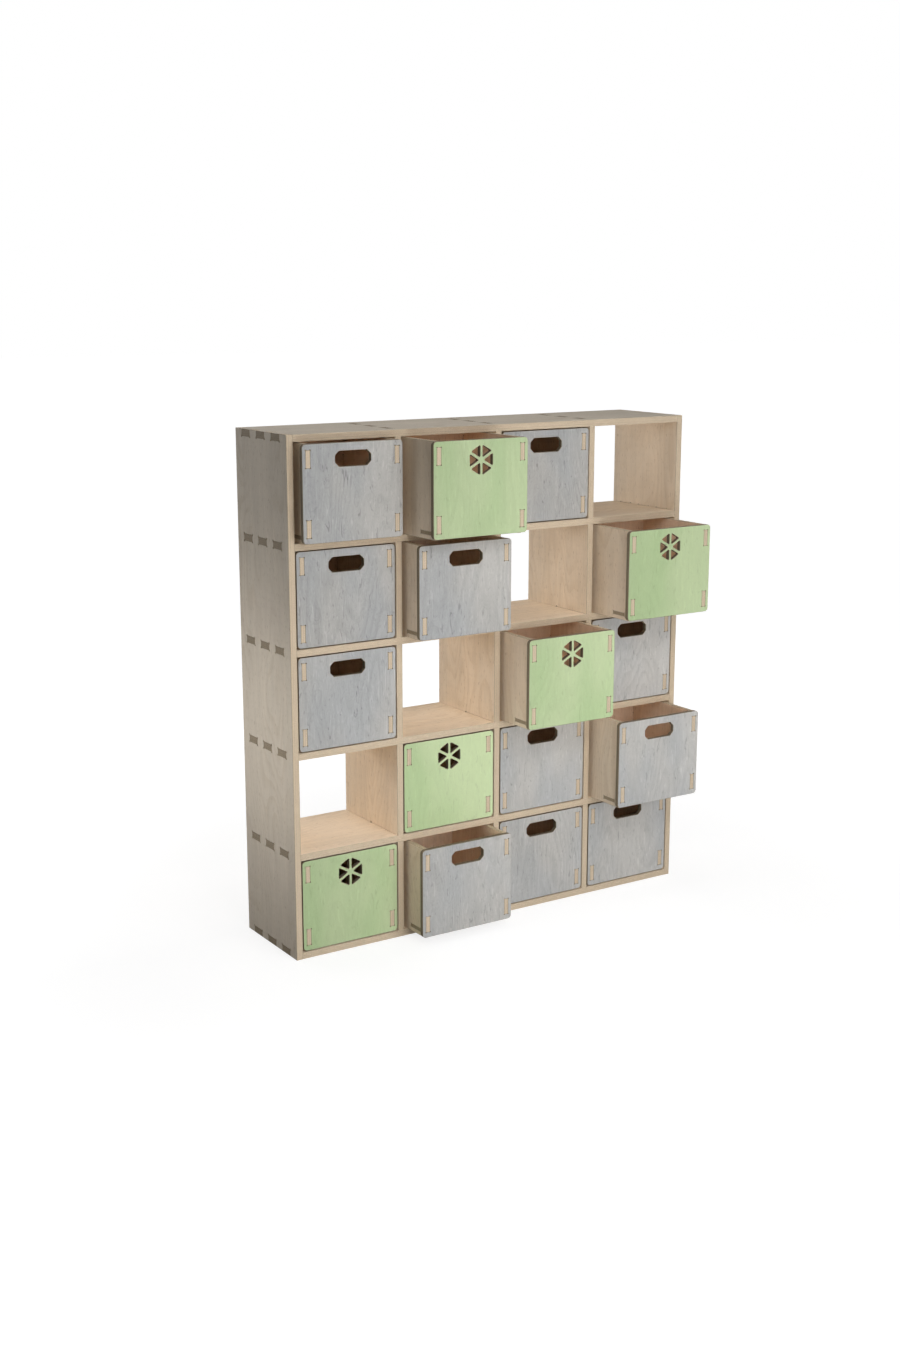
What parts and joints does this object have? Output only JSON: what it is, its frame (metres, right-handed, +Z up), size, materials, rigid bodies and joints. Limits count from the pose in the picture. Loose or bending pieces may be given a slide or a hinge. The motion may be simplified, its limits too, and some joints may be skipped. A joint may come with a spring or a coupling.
{
  "type": "modular shelf with drawers",
  "caption": "Open plywood grid shelf of slotted boards, with loose box drawers whose stained fronts have a hand hole or a wheel shaped vent.",
  "frame": {"origin": "middle of the underside of the case, on the floor that it stands on", "axes": "+X to the right seen from the front, +Y towards the back, +Z up"},
  "size_m": [1.25, 0.4373, 1.358],
  "materials": {
    "case_birch": "clear matt oil on birch plywood, layered edges",
    "drawer_birch": "clear matt oil on birch plywood, layered edges",
    "grey_stain": "thin grey stain with the grain showing through",
    "green_stain": "thin green stain with the grain showing through"
  },
  "bodies": {
    "case": {"left_side": "case_birch", "right_side": "case_birch", "top_panel": "case_birch", "bottom_panel": "case_birch", "shelf_1": "case_birch", "shelf_2": "case_birch", "shelf_3": "case_birch", "shelf_4": "case_birch", "divider_1": "case_birch", "divider_2": "case_birch", "divider_3": "case_birch"},
    "drawer_r1c1": {"drawer_r1c1_front": "grey_stain", "drawer_r1c1_walls": "drawer_birch", "drawer_r1c1_back_and_floor": "drawer_birch"},
    "drawer_r1c2": {"drawer_r1c2_front": "green_stain", "drawer_r1c2_walls": "drawer_birch", "drawer_r1c2_back_and_floor": "drawer_birch"},
    "drawer_r1c3": {"drawer_r1c3_front": "grey_stain", "drawer_r1c3_walls": "drawer_birch", "drawer_r1c3_back_and_floor": "drawer_birch"},
    "drawer_r2c1": {"drawer_r2c1_front": "grey_stain", "drawer_r2c1_walls": "drawer_birch", "drawer_r2c1_back_and_floor": "drawer_birch"},
    "drawer_r2c2": {"drawer_r2c2_front": "grey_stain", "drawer_r2c2_walls": "drawer_birch", "drawer_r2c2_back_and_floor": "drawer_birch"},
    "drawer_r2c4": {"drawer_r2c4_front": "green_stain", "drawer_r2c4_walls": "drawer_birch", "drawer_r2c4_back_and_floor": "drawer_birch"},
    "drawer_r3c1": {"drawer_r3c1_front": "grey_stain", "drawer_r3c1_walls": "drawer_birch", "drawer_r3c1_back_and_floor": "drawer_birch"},
    "drawer_r3c3": {"drawer_r3c3_front": "green_stain", "drawer_r3c3_walls": "drawer_birch", "drawer_r3c3_back_and_floor": "drawer_birch"},
    "drawer_r3c4": {"drawer_r3c4_front": "grey_stain", "drawer_r3c4_walls": "drawer_birch", "drawer_r3c4_back_and_floor": "drawer_birch"},
    "drawer_r4c2": {"drawer_r4c2_front": "green_stain", "drawer_r4c2_walls": "drawer_birch", "drawer_r4c2_back_and_floor": "drawer_birch"},
    "drawer_r4c3": {"drawer_r4c3_front": "grey_stain", "drawer_r4c3_walls": "drawer_birch", "drawer_r4c3_back_and_floor": "drawer_birch"},
    "drawer_r4c4": {"drawer_r4c4_front": "grey_stain", "drawer_r4c4_walls": "drawer_birch", "drawer_r4c4_back_and_floor": "drawer_birch"},
    "drawer_r5c1": {"drawer_r5c1_front": "green_stain", "drawer_r5c1_walls": "drawer_birch", "drawer_r5c1_back_and_floor": "drawer_birch"},
    "drawer_r5c2": {"drawer_r5c2_front": "grey_stain", "drawer_r5c2_walls": "drawer_birch", "drawer_r5c2_back_and_floor": "drawer_birch"},
    "drawer_r5c3": {"drawer_r5c3_front": "grey_stain", "drawer_r5c3_walls": "drawer_birch", "drawer_r5c3_back_and_floor": "drawer_birch"},
    "drawer_r5c4": {"drawer_r5c4_front": "grey_stain", "drawer_r5c4_walls": "drawer_birch", "drawer_r5c4_back_and_floor": "drawer_birch"}
  },
  "joints": [
    {"name": "drawer_r1c1_slide", "type": "slide", "parent": "case", "child": "drawer_r1c1", "axis": [0, -1, 0], "range_m": [-0.0414, 0.2486]},
    {"name": "drawer_r1c2_slide", "type": "slide", "parent": "case", "child": "drawer_r1c2", "axis": [0, -1, 0], "range_m": [-0.14904, 0.14096]},
    {"name": "drawer_r1c3_slide", "type": "slide", "parent": "case", "child": "drawer_r1c3", "axis": [0, -1, 0], "range_m": [0, 0.29]},
    {"name": "drawer_r2c1_slide", "type": "slide", "parent": "case", "child": "drawer_r2c1", "axis": [0, -1, 0], "range_m": [0, 0.29]},
    {"name": "drawer_r2c2_slide", "type": "slide", "parent": "case", "child": "drawer_r2c2", "axis": [0, -1, 0], "range_m": [-0.08004, 0.20996]},
    {"name": "drawer_r2c4_slide", "type": "slide", "parent": "case", "child": "drawer_r2c4", "axis": [0, -1, 0], "range_m": [-0.15732, 0.13268]},
    {"name": "drawer_r3c1_slide", "type": "slide", "parent": "case", "child": "drawer_r3c1", "axis": [0, -1, 0], "range_m": [0, 0.29]},
    {"name": "drawer_r3c3_slide", "type": "slide", "parent": "case", "child": "drawer_r3c3", "axis": [0, -1, 0], "range_m": [-0.13248, 0.15752]},
    {"name": "drawer_r3c4_slide", "type": "slide", "parent": "case", "child": "drawer_r3c4", "axis": [0, -1, 0], "range_m": [0, 0.29]},
    {"name": "drawer_r4c2_slide", "type": "slide", "parent": "case", "child": "drawer_r4c2", "axis": [0, -1, 0], "range_m": [0, 0.29]},
    {"name": "drawer_r4c3_slide", "type": "slide", "parent": "case", "child": "drawer_r4c3", "axis": [0, -1, 0], "range_m": [0, 0.29]},
    {"name": "drawer_r4c4_slide", "type": "slide", "parent": "case", "child": "drawer_r4c4", "axis": [0, -1, 0], "range_m": [-0.13248, 0.15752]},
    {"name": "drawer_r5c1_slide", "type": "slide", "parent": "case", "child": "drawer_r5c1", "axis": [0, -1, 0], "range_m": [0, 0.29]},
    {"name": "drawer_r5c2_slide", "type": "slide", "parent": "case", "child": "drawer_r5c2", "axis": [0, -1, 0], "range_m": [-0.09108, 0.19892]},
    {"name": "drawer_r5c3_slide", "type": "slide", "parent": "case", "child": "drawer_r5c3", "axis": [0, -1, 0], "range_m": [0, 0.29]},
    {"name": "drawer_r5c4_slide", "type": "slide", "parent": "case", "child": "drawer_r5c4", "axis": [0, -1, 0], "range_m": [0, 0.29]}
  ]
}
